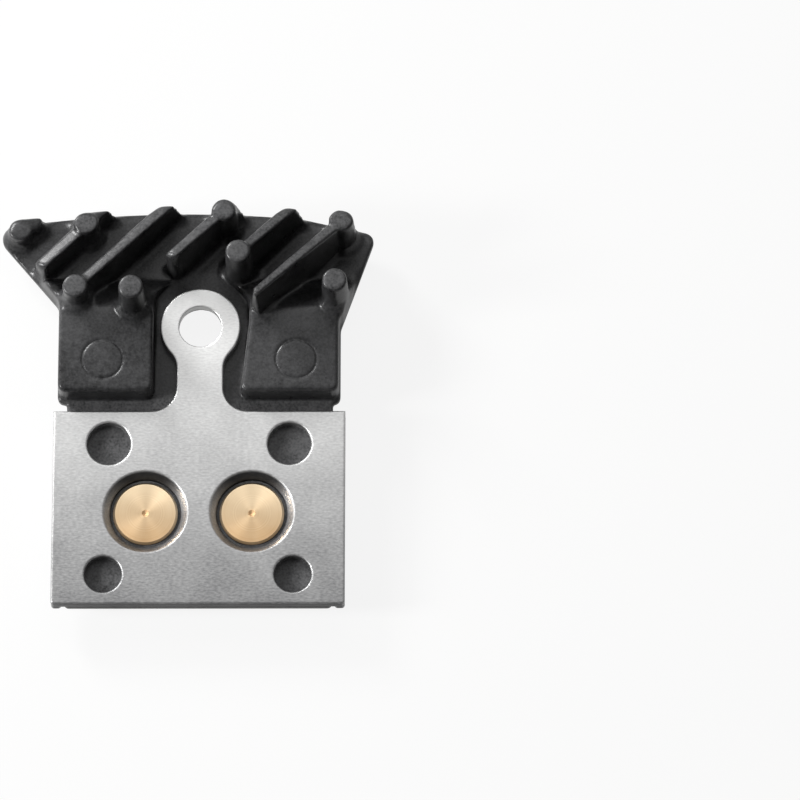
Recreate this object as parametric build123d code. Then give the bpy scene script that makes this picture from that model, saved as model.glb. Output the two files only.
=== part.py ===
from build123d import *
from math import cos, radians, sin, sqrt, tan
import os

# Finned disc brake pad for a two-piston road caliper, in millimetres.
# It lies on its friction face with the fins up. The origin is the centre of the axle bore, at mid thickness
# of the steel sheet; +Y runs along the tab to the fins and +Z points away from the brake disc.

# Layers of the stack
sheet = 1.0               # steel back plate
web = 1.0                 # plate of the casting
carrier = 0.4             # steel carrier of the friction block
compound = 1.6            # friction compound

# Back plate
plate_width = 29.2        # over the flanges
plate_top = -8.9          # Y of the edge that carries the tab
plate_bottom = -29.0      # Y of the free edge, shared with the casting
plate_corner = 0.35
flange_gap = 0.25         # between a flange and the side of the casting
flange_setback = 0.15     # flange end behind the casting's front face
flange_round = 0.3        # end corners of a flange
flange_edge = 0.25        # broken edges of a flange's end
sheet_edge = 0.12         # broken edges of the sheet
tab_lobe = 8.1            # diameter round the bore
axle_bore = 4.3           # diameter, for an M4 axle bolt
neck_width = 4.7
neck_fillet = 2.5
vent_upper = (9.03, -12.3, 4.4)   # X either side, Y, diameter
vent_lower = (9.44, -25.9, 3.75)
vent_edge = 0.12          # broken rim of these holes

# Rivets
rivet_x = 5.31            # either side of the middle
rivet_y = -19.4
shank = 3.0               # diameter
head = 6.45               # diameter
head_height = 0.35
head_bevel = 0.2
centre_mark = 0.35        # radius of the dimple in the head
shank_clearance = 0.05
sink_rim = 8.55           # countersink in the sheet: at the surface, below its rim, at the bottom
sink_wall = 8.2
sink_floor = 6.95
sink_lip = 0.18           # depth of the rim

# Casting outline
step_left = 0.95          # the wings stand out this far beside the foot
step_right = 0.75
step_y = -7.8             # Y where the wings end
step_fillet = 0.7
foot_corner = 0.4
axle_relief = 4.7         # diameter of the hole behind the bore
left_shoulder = 2.3       # Y where the left side turns outwards
left_tip = (-21.4, 10.7)  # corners before rounding
left_tip_fillet = 1.4
right_shoulder = 0.0
right_tip = (17.7, 10.07)
right_tip_fillet = 1.0
crest = (-1.5, 12.4)      # highest point of the upper arc
crest_end = (10.2, 11.8)  # where the arc meets the straight run to the right corner
shoulder_fillet = 1.2
rim_edge = 0.1            # broken edges of the casting's plate

# Blocks beside the tab
block_height = 3.0        # above the back of the web
block_bottom = -7.4
ramp_width = 0.9          # steep run at the upper end of the blocks, down to the web
ramp_drop = 0.4           # the blocks meet the web this far below the top of the recess
block_corner = 0.8
block_edge = 0.25         # broken top edges
block_inset = 0.15        # inside the sides of the casting
recess_left = -4.65       # side walls of the recess round the tab
recess_right = 4.95
recess_right_low = 3.95
recess_radius = 5.6       # round the bore, above the tab
recess_draft = 4          # degrees
ring_mark = 4.3           # diameter of the round insert marks
ring_groove = 0.22
ring_depth = 0.12
ring_y = -4.05
ring_x = 9.7

# Fins, on parallel lines across the plate
fin_angle = 45            # degrees from +X
fin_pitch = 4.62          # square across the fins
fin_middle = 4            # the line that passes beside the bore
fin_middle_offset = 6.08  # its distance from the bore
fin_foot = 1.65           # width at the web
fin_land = 0.8            # width at full height
fin_flare = 0.4           # widening along the foot, as wide as high
fin_edge = 0.15           # broken top edges
fin_tip = 0.4             # bevel at the lower end
fin_end_draft = 6         # degrees, at the outline
fin_full_height = 10.0    # above the casting's front, before the tops are cut
crown_radius = 95         # the tops lie on a large cylinder that dips towards the upper edge
crown_x = 8.0
crown_y = 2.0
crown_height = 9.15       # above the casting's front, at crown_x and crown_y
crown_dip = 17.5          # degrees
fin_starts = {2: -16.2, 3: -12.4, 4: -3.0, 5: 3.9, 6: 5.5}   # X of each fin's lower end

# Ejector pins
pin_diameter = 2.5
pin_draft = 1.5           # degrees
pin_flare = 0.65          # a pin's foot widens by this
pin_flare_height = 0.9
pin_edge = 0.15
# Each place is a fin line, X, and the height above the casting's front.
floor_pins = [(1, -18.2, 3.4), (1, -17.2, 3.1), (2, -11.5, 4.9), (4, 2.4, 6.5), (5, 3.9, 8.1),
              (6, 14.2, 6.85)]
block_pins = [(3, -12.4, 7.0), (4, -6.7, 9.2), (7, 13.6, 9.1)]

# Ribs and bosses on the front
rib_height = 0.8
rib_foot = 1.95
rib_draft = 16            # degrees
rib_low = 1.3             # Y below which there are none
rib_notch = 6.0           # radius kept clear round the bore
rib_inset = 0.3           # from the outline
boss_size = 2.0
boss_height = 1.0
boss_draft = 12           # degrees
boss_x = 11.9
boss_y = -5.8

# Friction block and carrier
pad_width = 25.9
pad_crown = -11.9         # Y of the top edge in the middle
pad_shoulder = -12.7      # Y of the top edge at the corners
pad_foot = -27.4
foot_rise = 0.3           # the lower edge arches up by this in the middle
pad_corner = 3.1
bevel_width = 1.2         # along the lower edge
bevel_depth = 1.2
friction_edge = 0.15
carrier_lip = 0.18        # carrier beyond the compound

# Levels
sheet_back = sheet / 2
web_back = -sheet / 2
web_front = web_back - web
carrier_front = web_front - carrier
friction_face = carrier_front - compound

casting_width = plate_width - 2 * (sheet + flange_gap)
wing_left = -casting_width / 2 - step_left
wing_right = casting_width / 2 + step_right
ramp_end = recess_radius - ramp_drop
block_top = ramp_end - ramp_width
reach = 60                # longer than any piece, for cutting tools
along = Vector(cos(radians(fin_angle)), sin(radians(fin_angle)), 0)
across = Vector(-along.Y, along.X, 0)


def at_level(shape, level):
    return Pos(0, 0, level) * shape


def rounded(sketch, point, radius):
    # the corner of the sketch nearest to the point, rounded
    return fillet(sketch.vertices().sort_by_distance(Vector(*point))[0], radius)


def mirrored_pair(shape):
    return shape + mirror(shape, Plane.YZ)


def fin_point(line, x):
    # the point with this X on one of the fin lines
    aside = fin_middle_offset + (fin_middle - line) * fin_pitch
    return Vector(x, (aside + x * along.Y) / along.X, 0)


def back_plate():
    middle = (plate_top + plate_bottom) / 2
    panel = Pos(0, middle) * Rectangle(plate_width, plate_top - plate_bottom)
    neck = Pos(0, plate_top / 2) * Rectangle(neck_width, -plate_top)
    outline = panel + neck + Circle(tab_lobe / 2)
    root_y = -sqrt((tab_lobe / 2)**2 - (neck_width / 2)**2)
    for side in (-1, 1):
        outline = rounded(outline, (side * neck_width / 2, root_y), neck_fillet)
        outline = rounded(outline, (side * neck_width / 2, plate_top), neck_fillet)
        outline = rounded(outline, (side * plate_width / 2, plate_bottom), plate_corner)
    plate = at_level(extrude(outline, sheet), web_back)
    plate = chamfer(plate.faces().sort_by(Axis.Z)[-1].outer_wire().edges(), sheet_edge)

    depth = web - flange_setback
    bar = Rectangle(sheet, plate_top - plate_bottom)
    bar = Pos((plate_width - sheet) / 2, middle) * fillet(bar.vertices(), flange_round)
    flange = at_level(extrude(bar, -depth), web_back)
    plate += mirrored_pair(chamfer(flange.faces().sort_by(Axis.Z)[0].edges(), flange_edge))

    plate -= Cylinder(axle_bore / 2, 3 * sheet)
    for x, y, diameter in (vent_upper, vent_lower):
        vent = Cylinder(diameter / 2, 3 * sheet)
        plate -= Pos(x, y) * vent
        plate -= Pos(-x, y) * vent
    rims = plate.faces().filter_by(Plane.XY).sort_by(Axis.Z)[-1].inner_wires()
    vents = [wire for wire in rims if abs(wire.center().X) > rivet_x]
    plate = chamfer([edge for wire in vents for edge in wire.edges()], vent_edge)

    lip = sheet_back - sink_lip
    sink = Polyline((0, web_back), (sink_floor / 2, web_back), (sink_wall / 2, lip),
                    (sink_rim / 2, sheet_back), (0, sheet_back), close=True)
    sink = revolve(Plane.XZ * make_face(sink), Axis.Z)
    for side in (-1, 1):
        plate -= Pos(side * rivet_x, rivet_y) * sink
    return plate


def upper_edge():
    return ThreePointArc(crest_end, crest, left_tip)


def wing_outline():
    # the part of the casting beside and above the tab
    edges = Polyline((wing_left, step_y), (wing_right, step_y), (wing_right, right_shoulder), right_tip,
                     crest_end).edges()
    edges += upper_edge().edges()
    edges += Polyline(left_tip, (wing_left, left_shoulder), (wing_left, step_y)).edges()
    outline = rounded(make_face(edges), left_tip, left_tip_fillet)
    outline = rounded(outline, right_tip, right_tip_fillet)
    outline = rounded(outline, (wing_left, left_shoulder), shoulder_fillet)
    return rounded(outline, (wing_right, right_shoulder), shoulder_fillet)


def casting_outline():
    foot = Pos(0, plate_bottom / 2) * Rectangle(casting_width, -plate_bottom)
    outline = wing_outline() + foot
    for wing, foot_x in ((wing_left, -casting_width / 2), (wing_right, casting_width / 2)):
        outline = rounded(outline, (wing, step_y), step_fillet)
        outline = rounded(outline, (foot_x, plate_bottom), foot_corner)
    return outline


def recess_outline():
    # clear space round the tab: straight walls beside it, an arc above it
    low = plate_top
    high = recess_radius
    walls = Polygon((recess_left, low), (recess_right_low, low), (recess_right, 0), (recess_right, high),
                    (recess_left, high), align=None)
    arch = Circle(high) + Pos(0, low / 2) * Rectangle(2 * high, -low)
    return walls & arch


def blocks():
    # flat beside the tab and under the lower pins, with a steep run down to the web between the fins
    band = Pos(0, (block_bottom + ramp_end) / 2) * Rectangle(reach, ramp_end - block_bottom)
    footprint = (offset(wing_outline(), -block_inset) & band) - recess_outline()
    top = web_back + block_height
    above = Polyline((block_top, top), (ramp_end, web_back), (ramp_end, top), close=True)
    above = extrude(Plane.YZ * make_face(above), reach, both=True)
    ring = ring_mark / 2 - ring_groove / 2
    groove = Polyline((ring - ring_groove, ring_depth), (ring, -ring_depth),
                      (ring + ring_groove, ring_depth), close=True)
    groove = revolve(Plane.XZ * make_face(groove), Axis.Z)
    raised = []
    for face in footprint.faces():
        low = face.vertices().group_by(Axis.Y)[0]
        block = at_level(extrude(face.fillet_2d(block_corner, low), block_height), web_back)
        block = chamfer(block.faces().sort_by(Axis.Z)[-1].edges(), block_edge) - above
        side = 1 if face.center().X > 0 else -1
        raised.append(block - Pos(side * ring_x, ring_y, top) * groove)
    return raised


def fin_bar(line, start):
    # one fin with a drafted section and a flared foot, much longer than needed at its upper end
    foot = fin_foot / 2
    land = fin_land / 2
    flare = foot + fin_flare
    top = fin_full_height - web
    sunk = -web / 2
    section = Polygon((flare, sunk), (flare, 0), (foot, fin_flare), (land, top), (-land, top),
                      (-foot, fin_flare), (-flare, 0), (-flare, sunk), align=None)
    place = Plane(fin_point(line, start) + Vector(0, 0, web_back), x_dir=across, z_dir=along)
    return extrude(place * section, reach)


def fin_space():
    # what the fins may fill: under their crown, clear of the recess and drawn in at the outer ends
    tilt = radians(crown_dip)
    apex = Vector(crown_x, crown_y, web_front + crown_height)
    centre = apex - Vector(0, sin(tilt), cos(tilt)) * crown_radius
    place = Plane(centre, x_dir=(1, 0, 0), z_dir=(0, cos(tilt), -sin(tilt)))
    space = place * Cylinder(crown_radius, 2 * reach)
    arc = upper_edge()
    drawn_in = arc.radius - fin_full_height * tan(radians(fin_end_draft))
    cone = Cone(arc.radius, drawn_in, fin_full_height, align=(Align.CENTER, Align.CENTER, Align.MIN))
    space &= at_level(Pos(arc.arc_center) * cone, web_front)
    # the straight sides run on past the arc, where the cone cuts the fins
    shoulder = Vector(wing_left, left_shoulder)
    left_high = Vector(*left_tip) * 2 - shoulder
    right_high = Vector(*crest_end) * 2 - Vector(*right_tip)
    sides = Polygon((wing_left, step_y), (wing_right, step_y), (wing_right, right_shoulder), right_tip,
                    (right_high.X, right_high.Y), (left_high.X, left_high.Y), (shoulder.X, shoulder.Y),
                    align=None)
    space &= at_level(extrude(sides, fin_full_height, taper=fin_end_draft), web_front)
    return space - at_level(extrude(recess_outline(), fin_full_height, taper=-recess_draft), web_back)


def fin_crown(fin):
    return fin.faces().filter_by(GeomType.CYLINDER).sort_by(SortBy.AREA)[-1]


def fins():
    room = fin_space()
    shaped = []
    for line, start in fin_starts.items():
        fin = fin_bar(line, start) & room
        tip = fin_crown(fin).edges().sort_by(Axis.Y)[0].center() - Vector(0, 0, fin_tip)
        bevel = Plane(tip, x_dir=across, z_dir=Vector(0, 0, 1) - along)
        fin -= bevel * at_level(Box(reach, reach, reach), reach / 2)
        shaped.append(chamfer(fin_crown(fin).edges().sort_by(SortBy.LENGTH)[-2:], fin_edge))
    return shaped


def pin(height, ledge):
    # a round pin that rises from the ledge out of a flare, with the casting's front at zero
    radius = pin_diameter / 2
    stem = radius + (height - ledge) * sin(radians(pin_draft))
    flare = stem + pin_flare
    profile = Polyline((0, web / 2), (flare, web / 2), (flare, ledge), (stem, ledge + pin_flare_height),
                       (radius, height - pin_edge), (radius - pin_edge, height), (0, height), close=True)
    return revolve(Plane.XZ * make_face(profile), Axis.Z)


def pins():
    standing = []
    room = at_level(extrude(wing_outline() - recess_outline(), fin_full_height), web_front)
    for places, ledge in ((floor_pins, web), (block_pins, web + block_height)):
        for line, x, height in places:
            point = fin_point(line, x)
            standing.append(Pos(point.X, point.Y, web_front) * pin(height, ledge) & room)
    return standing


def ribs(outline):
    strips = []
    for line in range(1, 2 * fin_middle):
        place = Plane(fin_point(line, 0), x_dir=along, z_dir=(0, 0, 1))
        strips.append(place * Rectangle(2 * reach, rib_foot))
    field = offset(outline, -rib_inset) & (Pos(0, rib_low + reach / 2) * Rectangle(reach, reach))
    field -= Circle(rib_notch)
    raised = []
    for strip in strips:
        for face in (strip & field).faces():
            raised.append(at_level(extrude(face, -rib_height, taper=rib_draft), web_front))
    return raised


def fin_body():
    outline = casting_outline()
    body = at_level(extrude(outline, web), web_front)
    body = chamfer(body.edges().filter_by(Plane.XY), rim_edge)
    for feature in [*blocks(), *fins(), *pins(), *ribs(outline)]:
        body += feature
    boss = at_level(extrude(Rectangle(boss_size, boss_size), -boss_height, taper=boss_draft), web_front)
    for side in (-1, 1):
        body += Pos(side * boss_x, boss_y) * boss
        body -= Pos(side * rivet_x, rivet_y, web_front) * Cylinder(shank / 2 + shank_clearance, 4 * web)
    body -= Pos(0, 0, web_front) * Cylinder(axle_relief / 2, 4 * web)
    return body


def pad_outline():
    half = pad_width / 2
    edges = Polyline((-half, pad_shoulder), (-half, pad_foot)).edges()
    edges += ThreePointArc((-half, pad_foot), (0, pad_foot + foot_rise), (half, pad_foot)).edges()
    edges += Line((half, pad_foot), (half, pad_shoulder)).edges()
    edges += ThreePointArc((half, pad_shoulder), (0, pad_crown), (-half, pad_shoulder)).edges()
    outline = make_face(edges)
    return fillet(outline.vertices(), pad_corner)


def friction_pad():
    block = at_level(extrude(pad_outline(), -compound), carrier_front)
    bevel = Polyline((pad_foot + bevel_width, friction_face), (pad_foot, friction_face + bevel_depth),
                     (pad_foot - bevel_width, friction_face + bevel_depth),
                     (pad_foot - bevel_width, friction_face), close=True)
    block -= extrude(Plane.YZ * make_face(bevel), pad_width, both=True)
    return chamfer(block.faces().sort_by(Axis.Z)[0].edges(), friction_edge)


def pad_carrier():
    plate = at_level(extrude(offset(pad_outline(), carrier_lip), -carrier), web_front)
    for side in (-1, 1):
        plate -= Pos(side * rivet_x, rivet_y, web_front) * Cylinder(shank / 2 + shank_clearance, 4 * carrier)
    return plate


def rivets():
    length = web + carrier
    rim = head / 2
    profile = Polyline((0, -length), (shank / 2, -length), (shank / 2, 0), (rim, 0),
                       (rim, head_height - head_bevel), (rim - head_bevel, head_height),
                       (centre_mark, head_height), (0, head_height - centre_mark / 2), close=True)
    rivet = revolve(Plane.XZ * make_face(profile), Axis.Z)
    return Compound([Pos(side * rivet_x, rivet_y, web_back) * rivet for side in (-1, 1)])


os.makedirs("parts", exist_ok=True)
for piece in (back_plate, fin_body, pad_carrier, friction_pad, rivets):
    export_step(piece(), f"parts/{piece.__name__}.step")
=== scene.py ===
from math import cos, radians, sin

import bmesh
import bpy
import numpy as np
from mathutils import Matrix, Vector


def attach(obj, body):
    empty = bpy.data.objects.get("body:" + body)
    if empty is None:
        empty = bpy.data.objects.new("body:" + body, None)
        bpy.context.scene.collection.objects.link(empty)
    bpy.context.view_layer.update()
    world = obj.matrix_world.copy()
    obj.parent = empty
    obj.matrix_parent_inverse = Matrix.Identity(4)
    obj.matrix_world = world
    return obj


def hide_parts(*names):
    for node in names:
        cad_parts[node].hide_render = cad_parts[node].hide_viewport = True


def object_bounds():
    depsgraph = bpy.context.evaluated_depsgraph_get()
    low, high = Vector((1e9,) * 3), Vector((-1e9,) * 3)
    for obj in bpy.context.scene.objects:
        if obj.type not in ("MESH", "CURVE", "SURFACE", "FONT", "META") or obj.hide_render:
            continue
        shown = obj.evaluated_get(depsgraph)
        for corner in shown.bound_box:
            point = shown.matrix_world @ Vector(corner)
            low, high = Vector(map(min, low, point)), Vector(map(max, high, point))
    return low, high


# A finned disc brake pad lying on its friction face, seen from above as it would lie on a bench.
# Lengths in the dictionaries are millimetres, angles are degrees.

mm = 0.001

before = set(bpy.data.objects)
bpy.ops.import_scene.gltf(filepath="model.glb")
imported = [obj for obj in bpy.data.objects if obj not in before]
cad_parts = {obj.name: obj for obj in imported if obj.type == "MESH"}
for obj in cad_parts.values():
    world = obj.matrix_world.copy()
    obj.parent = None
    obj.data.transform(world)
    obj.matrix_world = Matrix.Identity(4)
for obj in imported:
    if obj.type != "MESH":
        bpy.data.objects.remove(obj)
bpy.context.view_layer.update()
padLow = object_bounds()[0]
print("frame loaded:", sorted(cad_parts))


def linear(code):
    # sRGB hex to linear RGBA
    channels = np.array([int(code[i:i + 2], 16) for i in (1, 3, 5)]) / 255
    curve = np.where(channels <= 0.04045, channels / 12.92, ((channels + 0.055) / 1.055) ** 2.4)
    return (*curve.tolist(), 1.0)


def addNode(tree, kind, values=None, links=None, stops=None, **settings):
    # one node with its settings, its fixed inputs, its links and, on a colour ramp, its (position, hex) stops,
    # of which a third lies between the first two
    # a Mix takes its share at 0, two numbers at 2 and 3, or two colours at 6 and 7
    node = tree.nodes.new(kind)
    for name, value in settings.items():
        setattr(node, name, value)
    for key, value in (values or {}).items():
        node.inputs[key].default_value = value
    for key, source in (links or {}).items():
        tree.links.new(source, node.inputs[key])
    for place, (position, code) in enumerate(stops or []):
        bands = node.color_ramp.elements
        band = bands[place] if place < len(bands) else bands.new(position)
        band.position, band.color = position, linear(code)
    return node


def newMaterial(name, values):
    # an empty material with a Principled shader; gives back the material, its tree and the shader
    material = bpy.data.materials.new(name)
    material.use_nodes = True
    tree = material.node_tree
    tree.nodes.clear()
    shader = addNode(tree, "ShaderNodeBsdfPrincipled", values=values)
    addNode(tree, "ShaderNodeOutputMaterial", links={"Surface": shader.outputs["BSDF"]})
    return material, tree, shader


def perMetre(size):
    # texture scale that gives features of this size in millimetres
    return 1 / (size * mm)


def dress(node, material):
    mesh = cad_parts[node].data
    mesh.materials.clear()
    mesh.materials.append(material)


sheetLook = {
    "light": "#e6e6e5", "dark": "#848485",
    "darkTo": 0.22, "lightFrom": 0.72,  # tones at which the two colours are full
    "grain": 0.17, "cloud": 5.0,        # sizes of the grain and of the slow change of shade
    "drawn": 0.42,                      # the rolling draws the grain out along X, by one over this
    "cloudShare": 0.4, "fadeShare": 0.45,   # how much of the tone the slow change and the painted glare make
    "fade": (-30, 4),                   # Y over which painted glare pales the sheet from the free edge to the tab
    "sink": (5.31, -19.4),              # middle of the sinks: X either side, and Y
    "sinkRim": (4.1, 4.25), "sinkTint": "#e4e8ef",   # radius over which the pressed wall ends, and a cool tint painted on it against the rivets' gold reflection
    "darker": (-19.0, -16.0), "darkerTint": "#707071",   # Y over which painted shade darkens that wall, towards the tab
    "freeEdge": (-29.0, -28.96), "edgeShadeTint": "#8a8a8b",   # Y over which the painted shade on the sheared edge ends
    "roughness": (0.36, 0.52),
    "bump": 0.012, "bumpShare": 0.5,
    "edge": 0.25,                       # radius of the rolled edges
}


def stainlessSheet(look):
    # stainless sheet, blanked and tumbled: a pale grey metal with a fine matt grain along its width, soft
    # cloudy glare and bright rolled edges, with painted glare paler towards the tab; the pressed walls carry a
    # cool tint against the rivets' gold reflection and painted shade towards the tab, the sheared edge painted
    # shade
    material, tree, shader = newMaterial("stainlessSheet", {"Metallic": 1.0})
    place = addNode(tree, "ShaderNodeTexCoord").outputs["Object"]
    drawn = addNode(tree, "ShaderNodeVectorMath", operation="MULTIPLY", values={1: (look["drawn"], 1, 1)},
                    links={0: place}).outputs["Vector"]
    grain = addNode(tree, "ShaderNodeTexNoise", values={"Scale": perMetre(look["grain"]), "Detail": 4.0},
                    links={"Vector": drawn}).outputs["Fac"]
    cloud = addNode(tree, "ShaderNodeTexNoise", values={"Scale": perMetre(look["cloud"]), "Detail": 3.0},
                    links={"Vector": place}).outputs["Fac"]
    along = addNode(tree, "ShaderNodeSeparateXYZ", links={"Vector": place}).outputs["Y"]
    # painted glare: the tone pales from the free edge towards the tab
    paleTab = addNode(tree, "ShaderNodeMapRange", links={"Value": along}, values={
        "From Min": look["fade"][0] * mm, "From Max": look["fade"][1] * mm}).outputs["Result"]
    shade = addNode(tree, "ShaderNodeMix", values={0: look["cloudShare"]},
                    links={2: grain, 3: cloud}).outputs[0]
    tone = addNode(tree, "ShaderNodeMix", values={0: look["fadeShare"]},
                   links={2: shade, 3: paleTab}).outputs[0]
    colour = addNode(tree, "ShaderNodeValToRGB", links={"Fac": tone},
                     stops=[(look["darkTo"], look["dark"]), (look["lightFrom"], look["light"])])
    # both sinks are folded onto one
    folded = addNode(tree, "ShaderNodeVectorMath", operation="MULTIPLY", values={1: (1, 1, 0)}, links={
        0: addNode(tree, "ShaderNodeVectorMath", operation="ABSOLUTE", links={0: place}).outputs["Vector"]})
    radius = addNode(tree, "ShaderNodeVectorMath", operation="DISTANCE", links={0: folded.outputs["Vector"]},
                     values={1: (look["sink"][0] * mm, -look["sink"][1] * mm, 0)}).outputs["Value"]
    pressed = addNode(tree, "ShaderNodeMapRange", links={"Value": radius}, values={
        "From Min": look["sinkRim"][0] * mm, "From Max": look["sinkRim"][1] * mm,
        "To Min": 1.0, "To Max": 0.0}).outputs["Result"]
    # painted shade: the pressed walls turn darker towards the tab
    nearTab = addNode(tree, "ShaderNodeMapRange", links={"Value": along}, values={
        "From Min": look["darker"][0] * mm, "From Max": look["darker"][1] * mm}).outputs["Result"]
    darker = addNode(tree, "ShaderNodeMath", operation="MULTIPLY", links={0: pressed, 1: nearTab}).outputs[0]
    # painted shade on the plate's sheared free edge
    sheared = addNode(tree, "ShaderNodeMapRange", links={"Value": along}, values={
        "From Min": look["freeEdge"][0] * mm, "From Max": look["freeEdge"][1] * mm,
        "To Min": 1.0, "To Max": 0.0}).outputs["Result"]
    tinted = colour.outputs["Color"]
    # the pressed walls get a cool tint against the mirrored gold of the rivets and painted shade towards the
    # tab; the sheared edge gets painted shade
    for share, tint in ((pressed, "sinkTint"), (darker, "darkerTint"), (sheared, "edgeShadeTint")):
        tinted = addNode(tree, "ShaderNodeMix", data_type="RGBA", blend_type="MULTIPLY",
                         values={7: linear(look[tint])}, links={0: share, 6: tinted}).outputs[2]
    tree.links.new(tinted, shader.inputs["Base Color"])
    low, high = look["roughness"]
    matt = addNode(tree, "ShaderNodeMapRange", values={"To Min": low, "To Max": high}, links={"Value": grain})
    tree.links.new(matt.outputs["Result"], shader.inputs["Roughness"])
    rolled = addNode(tree, "ShaderNodeBevel", values={"Radius": look["edge"] * mm}, samples=8)
    bump = addNode(tree, "ShaderNodeBump",
                   values={"Strength": look["bumpShare"], "Distance": look["bump"] * mm},
                   links={"Height": grain, "Normal": rolled.outputs["Normal"]})
    tree.links.new(bump.outputs["Normal"], shader.inputs["Normal"])
    return material


castingLook = {
    "dark": "#1b1b1c", "light": "#474748",
    "darkTo": 0.38, "lightFrom": 0.62,  # tones at which the two colours are full
    "paintedLitTone": "#636364", "paintedLitFrom": (2.7, 3.4), "paintedLitShare": 0.85,   # Z over which painted light makes level ends paler
    "seat": -0.5, "seatBand": 0.12,     # Z of the seat under the plate, made paler by painted light, and how far off still counts
    "seatFrom": (-6.4, -7.8),           # Y over which the seat begins
    "level": (0.8, 0.96),               # upward share of the normal over which a face counts as level
    "peaks": (0.3, 0.7),                # height of the grain over which the painted paler tone comes through
    "grain": 0.26, "pores": 0.8, "cloud": 5.0,
    "poreShare": 0.35, "cloudShare": 0.4,   # how much of the tone the pores and the slow change make
    "roughness": (0.22, 0.4), "specular": 0.34,
    "bump": 0.025, "bumpShare": 0.8,
}


def coatedCasting(look):
    # die-cast aluminium under a thin satin black coat: near black, with the grainy skin of the die showing
    # through, a thin shine along its soft edges, and painted light that makes the level ends of fins and pins
    # and the seat paler
    material, tree, shader = newMaterial("coatedCasting", {
        "Metallic": 0.0, "IOR": 1.5, "Specular IOR Level": look["specular"]})
    place = addNode(tree, "ShaderNodeTexCoord").outputs["Object"]
    grain = addNode(tree, "ShaderNodeTexNoise", values={"Scale": perMetre(look["grain"]), "Detail": 3.0},
                    links={"Vector": place}).outputs["Fac"]
    pores = addNode(tree, "ShaderNodeTexNoise", values={"Scale": perMetre(look["pores"]), "Detail": 4.0},
                    links={"Vector": place}).outputs["Fac"]
    cloud = addNode(tree, "ShaderNodeTexNoise", values={"Scale": perMetre(look["cloud"]), "Detail": 2.0},
                    links={"Vector": place}).outputs["Fac"]
    skin = addNode(tree, "ShaderNodeMix", values={0: look["poreShare"]},
                   links={2: grain, 3: pores}).outputs[0]
    tone = addNode(tree, "ShaderNodeMix", values={0: look["cloudShare"]},
                   links={2: skin, 3: cloud}).outputs[0]
    colour = addNode(tree, "ShaderNodeValToRGB", links={"Fac": tone},
                     stops=[(look["darkTo"], look["dark"]), (look["lightFrom"], look["light"])])
    point = addNode(tree, "ShaderNodeSeparateXYZ", links={"Vector": place}).outputs
    facing = addNode(tree, "ShaderNodeNewGeometry").outputs["Normal"]
    upward = addNode(tree, "ShaderNodeSeparateXYZ", links={"Vector": facing}).outputs["Z"]
    # painted light: level faces up high, and the seat strip in front of the blocks, turn paler at the grain's
    # peaks
    flat = addNode(tree, "ShaderNodeMapRange", links={"Value": upward}, values={
        "From Min": look["level"][0], "From Max": look["level"][1]})
    raised = addNode(tree, "ShaderNodeMapRange", links={"Value": point["Z"]}, values={
        "From Min": look["paintedLitFrom"][0] * mm, "From Max": look["paintedLitFrom"][1] * mm,
        "To Max": look["paintedLitShare"]})
    atSeat = addNode(tree, "ShaderNodeMath", operation="COMPARE", links={0: point["Z"]},
                     values={1: look["seat"] * mm, 2: look["seatBand"] * mm})
    nearPlate = addNode(tree, "ShaderNodeMapRange", links={"Value": point["Y"]}, values={
        "From Min": look["seatFrom"][0] * mm, "From Max": look["seatFrom"][1] * mm})
    seat = addNode(tree, "ShaderNodeMath", operation="MULTIPLY",
                   links={0: atSeat.outputs[0], 1: nearPlate.outputs["Result"]})
    litPlaces = addNode(tree, "ShaderNodeMath", operation="MAXIMUM",
                      links={0: raised.outputs["Result"], 1: seat.outputs[0]})
    ends = addNode(tree, "ShaderNodeMath", operation="MULTIPLY",
                   links={0: flat.outputs["Result"], 1: litPlaces.outputs[0]})
    peaks = addNode(tree, "ShaderNodeMapRange", links={"Value": skin}, values={
        "From Min": look["peaks"][0], "From Max": look["peaks"][1]})
    paintedLit = addNode(tree, "ShaderNodeMath", operation="MULTIPLY",
                  links={0: ends.outputs[0], 1: peaks.outputs["Result"]})
    paintedLitColour = addNode(tree, "ShaderNodeMix", data_type="RGBA", values={7: linear(look["paintedLitTone"])},
                   links={0: paintedLit.outputs[0], 6: colour.outputs["Color"]})
    tree.links.new(paintedLitColour.outputs[2], shader.inputs["Base Color"])
    low, high = look["roughness"]
    satin = addNode(tree, "ShaderNodeMapRange", links={"Value": pores},
                    values={"To Min": low, "To Max": high})
    tree.links.new(satin.outputs["Result"], shader.inputs["Roughness"])
    bump = addNode(tree, "ShaderNodeBump", links={"Height": skin},
                   values={"Strength": look["bumpShare"], "Distance": look["bump"] * mm})
    tree.links.new(bump.outputs["Normal"], shader.inputs["Normal"])
    return material


rivetLook = {
    "light": "#f8e2bf", "dark": "#d2ad80",
    "darkTo": 0.2, "lightFrom": 0.8,    # tones at which the two colours are full
    "paler": (2.8, -2.8), "palerShare": 0.5,   # distance from the middle over which a painted sheen pales the gold, towards the tab
    "centre": (5.31, -19.4),            # X either side of the middle, and Y
    "turned": 0.12,                     # width of the tool's rings, drawn as coarse as they need to show
    "cloud": 2.2, "cloudShare": 0.5,
    "roughness": (0.34, 0.42),
    "fan": 0.6,                         # how far the rings draw the shine out
    "dimple": (0.33, 0.42), "dimpleRoughness": 0.85,   # radius over which the dull dimple ends
    "bump": 0.001, "bumpShare": 0.4,
}


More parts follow.
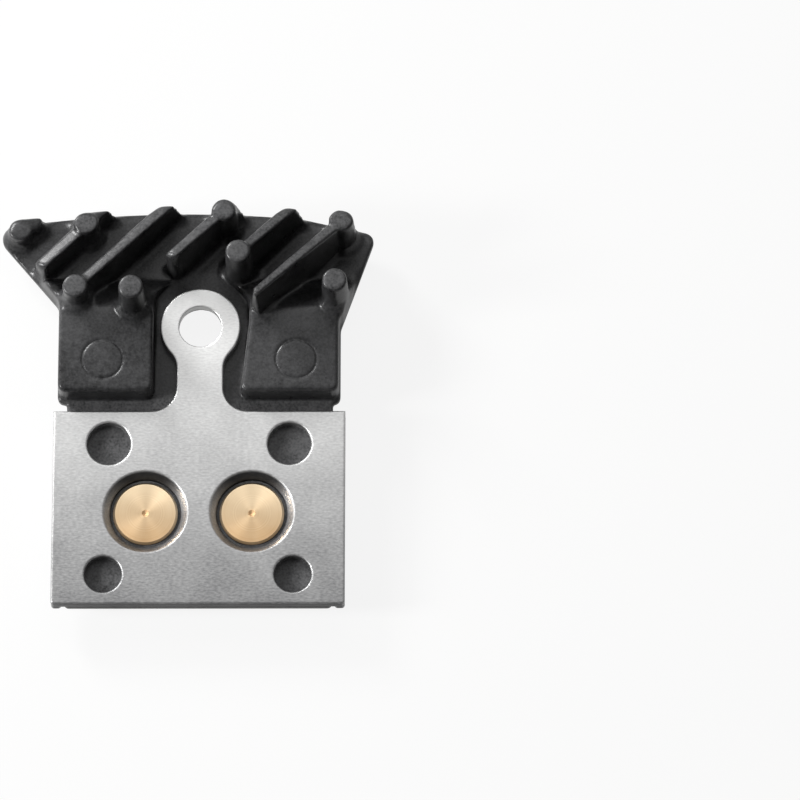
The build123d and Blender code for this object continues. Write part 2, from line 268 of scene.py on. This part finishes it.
def platedRivet(look):
    # steel rivet, faced on a lathe and yellow passivated: pale gold, softly shining, with faint rings round
    # its middle that draw the shine out into a fan, and a painted sheen that pales it towards the tab
    material, tree, shader = newMaterial("platedRivet", {"Metallic": 1.0, "Anisotropic": look["fan"]})
    place = addNode(tree, "ShaderNodeTexCoord").outputs["Object"]
    # both rivets are folded onto one, so that each has its rings round its own middle
    folded = addNode(tree, "ShaderNodeVectorMath", operation="MULTIPLY", values={1: (1, 1, 0)}, links={
        0: addNode(tree, "ShaderNodeVectorMath", operation="ABSOLUTE", links={0: place}).outputs["Vector"]})
    fromMiddle = addNode(tree, "ShaderNodeVectorMath", operation="SUBTRACT",
                         values={1: (look["centre"][0] * mm, -look["centre"][1] * mm, 0)},
                         links={0: folded.outputs["Vector"]}).outputs["Vector"]
    radius = addNode(tree, "ShaderNodeVectorMath", operation="LENGTH", links={0: fromMiddle}).outputs["Value"]
    side = addNode(tree, "ShaderNodeVectorMath", operation="SIGN", links={0: place}).outputs["Vector"]
    outward = addNode(tree, "ShaderNodeVectorMath", operation="MULTIPLY", links={0: fromMiddle, 1: side})
    ringwise = addNode(tree, "ShaderNodeVectorMath", operation="CROSS_PRODUCT", values={0: (0, 0, 1)},
                       links={1: outward.outputs["Vector"]})
    tree.links.new(ringwise.outputs["Vector"], shader.inputs["Tangent"])
    rings = addNode(tree, "ShaderNodeTexNoise", noise_dimensions="1D", links={"W": radius},
                    values={"Scale": perMetre(look["turned"]), "Detail": 3.0}).outputs["Fac"]
    cloud = addNode(tree, "ShaderNodeTexNoise", values={"Scale": perMetre(look["cloud"]), "Detail": 4.0},
                    links={"Vector": place}).outputs["Fac"]
    mottle = addNode(tree, "ShaderNodeMix", values={0: look["cloudShare"]},
                     links={2: rings, 3: cloud}).outputs[0]
    # painted sheen: the gold pales towards the tab
    across = addNode(tree, "ShaderNodeSeparateXYZ", links={"Vector": fromMiddle}).outputs["Y"]
    paler = addNode(tree, "ShaderNodeMapRange", links={"Value": across}, values={
        "From Min": look["paler"][0] * mm, "From Max": look["paler"][1] * mm}).outputs["Result"]
    tone = addNode(tree, "ShaderNodeMix", values={0: look["palerShare"]},
                   links={2: mottle, 3: paler}).outputs[0]
    colour = addNode(tree, "ShaderNodeValToRGB", links={"Fac": tone},
                     stops=[(look["darkTo"], look["dark"]), (look["lightFrom"], look["light"])])
    tree.links.new(colour.outputs["Color"], shader.inputs["Base Color"])
    drilled = addNode(tree, "ShaderNodeMapRange", links={"Value": radius}, values={
        "From Min": look["dimple"][0] * mm, "From Max": look["dimple"][1] * mm,
        "To Min": 1.0, "To Max": 0.0})
    low, high = look["roughness"]
    shine = addNode(tree, "ShaderNodeMapRange", links={"Value": cloud},
                    values={"To Min": low, "To Max": high})
    dull = addNode(tree, "ShaderNodeMix", values={3: look["dimpleRoughness"]},
                   links={0: drilled.outputs["Result"], 2: shine.outputs["Result"]})
    tree.links.new(dull.outputs[0], shader.inputs["Roughness"])
    bump = addNode(tree, "ShaderNodeBump", links={"Height": rings},
                   values={"Strength": look["bumpShare"], "Distance": look["bump"] * mm})
    tree.links.new(bump.outputs["Normal"], shader.inputs["Normal"])
    return material


compoundLook = {
    "warm": "#a8937d", "body": "#a99a8b", "cool": "#aea296",   # slow change of colour in the ground face
    "graphite": "#51463d", "bronze": "#cdbfae", "raw": "#57493d",
    "cloud": 3.5, "grit": 0.22, "grain": 0.18,
    "warmTo": 0.36, "bodyAt": 0.5, "coolFrom": 0.64,   # tones of that change
    "rawFrom": (-0.97, -0.8), "rawShare": 0.75,   # upward share of the normal over which the raw skin begins
    "bronzeFrom": (0.54, 0.7), "bronzeShare": 0.8,   # height of the grain over which bronze shows
    "graphiteFrom": (0.54, 0.68), "graphiteShare": 0.85,   # height of the grit over which graphite shows
    "roughness": (0.55, 0.82), "metal": 0.15,
    "bump": 0.04, "bumpShare": 0.8,
}


def sinteredCompound(look):
    # pressed and sintered metal powder with a ground face: dull tan stone full of fine dark graphite and pale
    # bronze grains; the bevel and the sides keep the darker, rougher skin of the mould
    material, tree, shader = newMaterial("sinteredCompound", {"Metallic": look["metal"]})
    place = addNode(tree, "ShaderNodeTexCoord").outputs["Object"]
    cloud = addNode(tree, "ShaderNodeTexNoise", values={"Scale": perMetre(look["cloud"]), "Detail": 3.0},
                    links={"Vector": place}).outputs["Fac"]
    grit = addNode(tree, "ShaderNodeTexNoise", values={"Scale": perMetre(look["grit"]), "Detail": 4.0},
                   links={"Vector": place}).outputs["Fac"]
    grain = addNode(tree, "ShaderNodeTexNoise", noise_dimensions="4D", links={"Vector": place},
                    values={"Scale": perMetre(look["grain"]), "Detail": 4.0, "W": 3.0}).outputs["Fac"]
    base = addNode(tree, "ShaderNodeValToRGB", links={"Fac": cloud},
                   stops=[(look["warmTo"], look["warm"]), (look["coolFrom"], look["cool"]),
                          (look["bodyAt"], look["body"])])
    facing = addNode(tree, "ShaderNodeNewGeometry").outputs["Normal"]
    level = addNode(tree, "ShaderNodeSeparateXYZ", links={"Vector": facing}).outputs["Z"]
    skin = addNode(tree, "ShaderNodeMapRange", links={"Value": level}, values={
        "From Min": look["rawFrom"][0], "From Max": look["rawFrom"][1], "To Max": look["rawShare"]})
    unground = addNode(tree, "ShaderNodeMix", data_type="RGBA", values={7: linear(look["raw"])},
                       links={0: skin.outputs["Result"], 6: base.outputs["Color"]})
    pale = addNode(tree, "ShaderNodeMapRange", links={"Value": grain}, values={
        "From Min": look["bronzeFrom"][0], "From Max": look["bronzeFrom"][1], "To Max": look["bronzeShare"]})
    bronzed = addNode(tree, "ShaderNodeMix", data_type="RGBA", values={7: linear(look["bronze"])},
                      links={0: pale.outputs["Result"], 6: unground.outputs[2]})
    dark = addNode(tree, "ShaderNodeMapRange", links={"Value": grit}, values={
        "From Min": look["graphiteFrom"][0], "From Max": look["graphiteFrom"][1],
        "To Max": look["graphiteShare"]})
    specked = addNode(tree, "ShaderNodeMix", data_type="RGBA", values={7: linear(look["graphite"])},
                      links={0: dark.outputs["Result"], 6: bronzed.outputs[2]})
    tree.links.new(specked.outputs[2], shader.inputs["Base Color"])
    low, high = look["roughness"]
    dull = addNode(tree, "ShaderNodeMapRange", values={"To Min": low, "To Max": high}, links={"Value": grit})
    tree.links.new(dull.outputs["Result"], shader.inputs["Roughness"])
    bump = addNode(tree, "ShaderNodeBump", links={"Height": grit}, invert=True,
                   values={"Strength": look["bumpShare"], "Distance": look["bump"] * mm})
    tree.links.new(bump.outputs["Normal"], shader.inputs["Normal"])
    return material


carrierLook = {
    "light": "#cdbfae", "dark": "#a7988a",
    "darkTo": 0.35, "lightFrom": 0.65,  # tones at which the two colours are full
    "grain": 0.3,
    "roughness": (0.36, 0.52),
    "bump": 0.006, "bumpShare": 0.4,
}


def copperedSteel(look):
    # thin steel plate with a flash of copper for bonding: a pale, slightly warm edge round the compound
    material, tree, shader = newMaterial("copperedSteel", {"Metallic": 1.0})
    place = addNode(tree, "ShaderNodeTexCoord").outputs["Object"]
    grain = addNode(tree, "ShaderNodeTexNoise", values={"Scale": perMetre(look["grain"]), "Detail": 4.0},
                    links={"Vector": place}).outputs["Fac"]
    colour = addNode(tree, "ShaderNodeValToRGB", links={"Fac": grain},
                     stops=[(look["darkTo"], look["dark"]), (look["lightFrom"], look["light"])])
    tree.links.new(colour.outputs["Color"], shader.inputs["Base Color"])
    low, high = look["roughness"]
    matt = addNode(tree, "ShaderNodeMapRange", values={"To Min": low, "To Max": high}, links={"Value": grain})
    tree.links.new(matt.outputs["Result"], shader.inputs["Roughness"])
    bump = addNode(tree, "ShaderNodeBump", links={"Height": grain},
                   values={"Strength": look["bumpShare"], "Distance": look["bump"] * mm})
    tree.links.new(bump.outputs["Normal"], shader.inputs["Normal"])
    return material


castingForm = {
    "weld": 0.001, "grid": 0.13,        # points this close are one, and the spacing of the new surface
    "rounds": 7, "hold": 0.5,           # how often, and how far, each point goes to its neighbours' middle
    "sink": 0.7,                        # behind their pins the blocks sink by this share of their height
    "sinkFrom": (1.2, 4.8), "sinkTo": (5.2, 6.5),   # Y over which that comes in and goes out
    "sinkSide": (-15, -13.8),           # X over which that comes in; the fin further left stays as it is
    "sinkTop": (2.6, 4.5), "floor": -0.5,   # Z over which that goes out, and the Z that it sinks to
    "backFrom": -0.7,                   # Z above which the further rounds work
    "flowRounds": 80,                   # more rounds where the blocks and pin feet run into the floor
    "flowFrom": (1.0, 2.6), "flowTo": (5.0, 6.4),   # Y over which those rounds come in and go out
    "flowTop": (2.6, 3.6),              # Z over which they go out
    "endRounds": 60,                    # and more at the outer ends of the fins
    "upperArc": (-1.594, -103.817, 116.218),   # centre and radius of the outer edge that they end on
    "endDepth": (0.7, 1.5),             # distance inside that edge over which those rounds go out
    "ring": (9.7, -4.05, 2.04),         # insert marks: X either side, Y, radius
    "ringWidth": 0.1, "ringDepth": 0.08, "blockTop": 2.5,
    "faces": 170000,                    # triangles that are left in the end
}


def evenedOut(points, ends, share):
    # every point moves by its share of the way to the mean of the points it is joined to
    first, second = ends
    count = len(points)
    joined = np.bincount(first, minlength=count) + np.bincount(second, minlength=count)
    sums = [np.bincount(first, points[second, axis], count) + np.bincount(second, points[first, axis], count)
            for axis in range(3)]
    return points + share[:, None] * (np.column_stack(sums) / joined[:, None] - points)


def softCasting(form):
    # the casting's own surface on a fine grid, evened out so that edges and inner corners turn as in a die;
    # behind the pins the height over the floor shrinks by a share that rises as 3tt - 2ttt with t along Y;
    # the insert marks are then pressed in as a ring: depth times exp(-(distance from it / width) squared)
    merged = bmesh.new()
    merged.from_mesh(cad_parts["fin_body"].data)
    bmesh.ops.remove_doubles(merged, verts=merged.verts, dist=form["weld"] * mm)
    mesh = bpy.data.meshes.new("softCasting")
    merged.to_mesh(mesh)
    merged.free()
    piece = bpy.data.objects.new("softCasting", mesh)
    bpy.context.scene.collection.objects.link(piece)
    grid = piece.modifiers.new("grid", "REMESH")
    grid.mode = "VOXEL"
    grid.voxel_size = form["grid"] * mm
    fine = bpy.data.meshes.new_from_object(piece.evaluated_get(bpy.context.evaluated_depsgraph_get()))
    piece.modifiers.remove(grid)

    points = np.empty(3 * len(fine.vertices))
    fine.vertices.foreach_get("co", points)
    points = points.reshape(-1, 3)
    ends = np.empty(2 * len(fine.edges), dtype=np.int32)
    fine.edges.foreach_get("vertices", ends)
    ends = ends.reshape(-1, 2).T
    everywhere = np.full(len(points), form["hold"])
    for turn in range(form["rounds"]):
        points = evenedOut(points, ends, everywhere)
    near, far, side, top = (np.array(form[key]) * mm for key in ("sinkFrom", "sinkTo", "sinkSide", "sinkTop"))
    comesIn = np.interp(points[:, 1], near, (0, 1)) * np.interp(points[:, 0], side, (0, 1))
    goesOut = np.interp(points[:, 1], far, (1, 0)) * np.interp(points[:, 2], top, (1, 0))
    height = np.maximum(points[:, 2] - form["floor"] * mm, 0)
    points[:, 2] -= form["sink"] * comesIn ** 2 * (3 - 2 * comesIn) * goesOut * height
    near, far, top = (np.array(form[key]) * mm for key in ("flowFrom", "flowTo", "flowTop"))
    comesIn = np.interp(points[:, 1], near, (0, 1))
    goesOut = np.interp(points[:, 1], far, (1, 0)) * np.interp(points[:, 2], top, (1, 0))
    onBack = points[:, 2] > form["backFrom"] * mm
    flow = form["hold"] * comesIn * goesOut * onBack
    for turn in range(form["flowRounds"]):
        points = evenedOut(points, ends, flow)
    x, y, radius = (value * mm for value in form["upperArc"])
    inside = radius - np.hypot(points[:, 0] - x, points[:, 1] - y)
    outer = form["hold"] * np.interp(inside, np.array(form["endDepth"]) * mm, (1, 0)) * onBack
    for turn in range(form["endRounds"]):
        points = evenedOut(points, ends, outer)
    x, y, radius = (value * mm for value in form["ring"])
    offRing = (np.hypot(np.abs(points[:, 0]) - x, points[:, 1] - y) - radius) / (form["ringWidth"] * mm)
    onTop = np.abs(points[:, 2] - form["blockTop"] * mm) < form["grid"] * mm
    points[:, 2] -= form["ringDepth"] * mm * np.exp(-offRing ** 2) * onTop
    fine.vertices.foreach_set("co", points.ravel())

    piece.data = fine
    fewer = piece.modifiers.new("fewer", "DECIMATE")
    fewer.ratio = min(1, form["faces"] / (2 * len(fine.polygons)))
    final = bpy.data.meshes.new_from_object(piece.evaluated_get(bpy.context.evaluated_depsgraph_get()))
    piece.modifiers.remove(fewer)
    final.polygons.foreach_set("use_smooth", np.ones(len(final.polygons), dtype=bool))
    piece.data = final
    final.materials.append(coatedCasting(castingLook))
    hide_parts("fin_body")
    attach(piece, "root")
    print("casting softened:", len(points), "points,", len(final.polygons), "triangles")


softCasting(castingForm)
dress("back_plate", stainlessSheet(sheetLook))
dress("rivets", platedRivet(rivetLook))
dress("friction_pad", sinteredCompound(compoundLook))
dress("pad_carrier", copperedSteel(carrierLook))
print("materials assigned")


def seenDirectly(tree, straight, mirrored):
    # a share for what is seen straight on or through glass, another for what metal mirrors, 0 for light
    path = addNode(tree, "ShaderNodeLightPath").outputs
    clear = addNode(tree, "ShaderNodeMath", operation="MAXIMUM",
                    links={0: path["Is Camera Ray"], 1: path["Is Transmission Ray"]}).outputs[0]
    mirror = addNode(tree, "ShaderNodeMath", operation="MULTIPLY", values={1: mirrored},
                     links={0: path["Is Glossy Ray"]}).outputs[0]
    return addNode(tree, "ShaderNodeMath", operation="MULTIPLY_ADD", values={1: straight},
                   links={0: clear, 2: mirror}).outputs[0]


bench = {
    "size": 1600, "under": 0.02,        # just below the friction face, so that the two don't share a plane
    "colour": "#f4f4f3", "roughness": 0.9,
    "white": 0.88, "mirrored": 0.4,     # share of plain white where it is seen, and where metal mirrors it
}


def benchTop(look):
    # a flat square under the pad's lowest point
    half = look["size"] * mm / 2
    corners = np.array([(-1, -1), (1, -1), (1, 1), (-1, 1)]) * half
    points = np.column_stack([corners, np.full(4, padLow.z - look["under"] * mm)])
    mesh = bpy.data.meshes.new("benchTop")
    mesh.from_pydata(points.tolist(), [], [(0, 1, 2, 3)])
    floor = bpy.data.objects.new("benchTop", mesh)
    bpy.context.scene.collection.objects.link(floor)
    material, tree, shader = newMaterial("whitePaper", {"Base Color": linear(look["colour"]),
                                                        "Roughness": look["roughness"]})
    plain = addNode(tree, "ShaderNodeEmission", values={"Color": linear("#ffffff"), "Strength": 1.0})
    share = seenDirectly(tree, look["white"], look["mirrored"])
    paper = addNode(tree, "ShaderNodeMixShader",
                    links={0: share, 1: shader.outputs["BSDF"], 2: plain.outputs["Emission"]})
    tree.links.new(paper.outputs["Shader"], tree.nodes["Material Output"].inputs["Surface"])
    mesh.materials.append(material)


benchTop(bench)

lamps = [
    # name, place, size across and along, power in watts, aimed at the pad
    {"name": "leftKey", "place": (-286, -50, 140), "size": (75, 75), "watts": 1.0},
    {"name": "backKey", "place": (-190, 220, 150), "size": (90, 90), "watts": 0.9},
    {"name": "backSoftbox", "place": (0, 95, 150), "size": (160, 90), "watts": 0.05},
]


def softLights(rows):
    for row in rows:
        data = bpy.data.lights.new(row["name"], "AREA")
        data.shape = "RECTANGLE"
        data.size = row["size"][0] * mm
        data.size_y = row["size"][1] * mm
        data.energy = row["watts"]
        lamp = bpy.data.objects.new(row["name"], data)
        lamp.location = Vector(row["place"]) * mm
        lamp.rotation_euler = (-lamp.location).to_track_quat("-Z", "Y").to_euler()
        bpy.context.scene.collection.objects.link(lamp)


softLights(lamps)

surround = {
    "colour": "#ffffff",
    "light": 0.08, "seen": 1.0, "mirrored": 0.72,   # strength as light, where it is seen, and in metal
    "front": 0.35,                      # share of the light and the mirrored room that is left in front
    "fall": (-0.6, 0.6),                # Y of the heading over which it rises from that to the whole
}


def roomLight(look):
    # white where it is seen; as light and in mirrors it falls off from the back of the room to the front
    world = bpy.data.worlds.new("room")
    world.use_nodes = True
    tree = world.node_tree
    tree.nodes.clear()
    heading = addNode(tree, "ShaderNodeTexCoord").outputs["Generated"]
    back = addNode(tree, "ShaderNodeSeparateXYZ", links={"Vector": heading}).outputs["Y"]
    share = addNode(tree, "ShaderNodeMapRange", links={"Value": back}, values={
        "From Min": look["fall"][0], "From Max": look["fall"][1],
        "To Min": look["front"], "To Max": 1.0}).outputs["Result"]
    mirror = seenDirectly(tree, 0, look["mirrored"] - look["light"])
    glare = addNode(tree, "ShaderNodeMath", operation="ADD", values={1: look["light"]},
                    links={0: mirror}).outputs[0]
    room = addNode(tree, "ShaderNodeMath", operation="MULTIPLY", links={0: share, 1: glare}).outputs[0]
    straight = seenDirectly(tree, 1, 0)
    strength = addNode(tree, "ShaderNodeMix", values={3: look["seen"]},
                       links={0: straight, 2: room}).outputs[0]
    glow = addNode(tree, "ShaderNodeBackground", values={"Color": linear(look["colour"])},
                   links={"Strength": strength})
    addNode(tree, "ShaderNodeOutputWorld", links={"Surface": glow.outputs["Background"]})
    bpy.context.scene.world = world


roomLight(surround)

view = {
    "distance": 700,                    # from the aim point
    "lean": 17.9,                       # off the plate's normal, towards the free edge
    "turn": 0.65, "roll": 0.1,
    "scale": 9.98,                      # photograph pixels per millimetre at the aim point
    "aim": (0, -8, 0),                  # point of the pad, and where it falls in the picture
    "pixel": (199.7, 403.9),
    "picture": 800,
    "sensor": 36, "reach": 10000,       # width of the sensor, and how far the camera sees
}


def photoCamera(look):
    # camera axes from lean, turn and roll; the axis passes beside the aim point, which then falls on its pixel
    lean, turn, roll = (radians(look[key]) for key in ("lean", "turn", "roll"))
    back = Vector((sin(turn) * cos(lean), -sin(lean), cos(turn) * cos(lean)))
    right = Vector((0, 1, 0)).cross(back).normalized()
    up = back.cross(right)
    right, up = cos(roll) * right + sin(roll) * up, cos(roll) * up - sin(roll) * right
    middle = look["picture"] / 2
    aside = (middle - look["pixel"][0]) / look["scale"]
    above = (look["pixel"][1] - middle) / look["scale"]
    eye = Vector(look["aim"]) + right * aside + up * above + back * look["distance"]
    data = bpy.data.cameras.new("photoCamera")
    data.sensor_width = look["sensor"]
    data.lens = look["scale"] * look["distance"] / look["picture"] * look["sensor"]
    data.clip_end = look["reach"] * mm
    camera = bpy.data.objects.new("photoCamera", data)
    camera.matrix_world = Matrix.Translation(eye * mm) @ Matrix((right, up, back)).transposed().to_4x4()
    bpy.context.scene.collection.objects.link(camera)
    bpy.context.scene.camera = camera


photoCamera(view)
bpy.context.scene.view_settings.view_transform = "Standard"
print("bench, lights and camera placed")
